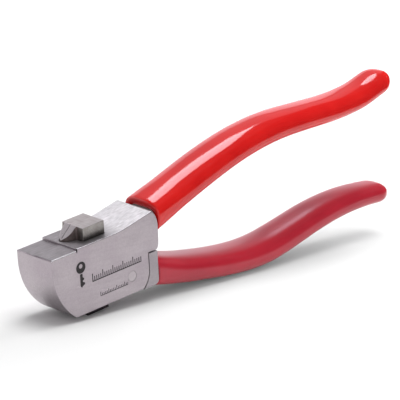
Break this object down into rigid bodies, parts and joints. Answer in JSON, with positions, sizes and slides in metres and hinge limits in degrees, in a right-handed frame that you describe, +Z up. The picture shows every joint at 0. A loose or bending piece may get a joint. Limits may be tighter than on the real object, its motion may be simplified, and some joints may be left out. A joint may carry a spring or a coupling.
{
  "type": "hand key cutting pliers",
  "caption": "Hand pliers with a steel head, a sliding V-nosed punch that nibbles key blanks, and two red dipped handles.",
  "frame": {"origin": "centre of the bounding box in plan, on the surface that the punch's foot and the lower grip stand on", "axes": "+X from the nose back along the handles, +Y across the tool to the side away from the viewer in the usual view, +Z up"},
  "size_m": [0.2256, 0.022, 0.0822],
  "materials": {
    "head_steel": "satin, fine ground grain, lightly broken edges",
    "punch_steel": "hardened and ground, warm grey",
    "pin_steel": "ground",
    "bronze": "plain bearing bronze",
    "grip_vinyl": "dipped vinyl, smooth and glossy"
  },
  "bodies": {
    "lower_handle": {"lever": "head_steel", "lower_grip": "grip_vinyl", "pivot_bushing": "bronze", "closing_screw": "pin_steel"},
    "head": {"head_body": "head_steel", "upper_grip": "grip_vinyl", "pivot_pin": "pin_steel", "stop_pin": "pin_steel", "pivot_shim_near": "bronze", "pivot_shim_far": "bronze"},
    "punch": {"punch": "punch_steel", "drive_pin": "pin_steel", "drive_roller": "pin_steel"}
  },
  "joints": [
    {"name": "handle_hinge", "type": "hinge", "parent": "lower_handle", "child": "head", "pos_m": [-0.06445, 0, 0.01482], "axis": [0, -1, 0], "range_deg": [0, 12]},
    {"name": "punch_slide", "type": "slide", "parent": "head", "child": "punch", "axis": [-0.1259, 0, 0.992], "range_m": [0, 0.0036]}
  ],
  "couplings": [
    {"joint": "punch_slide", "follows": "handle_hinge", "m_per_rad": 0.017063}
  ]
}
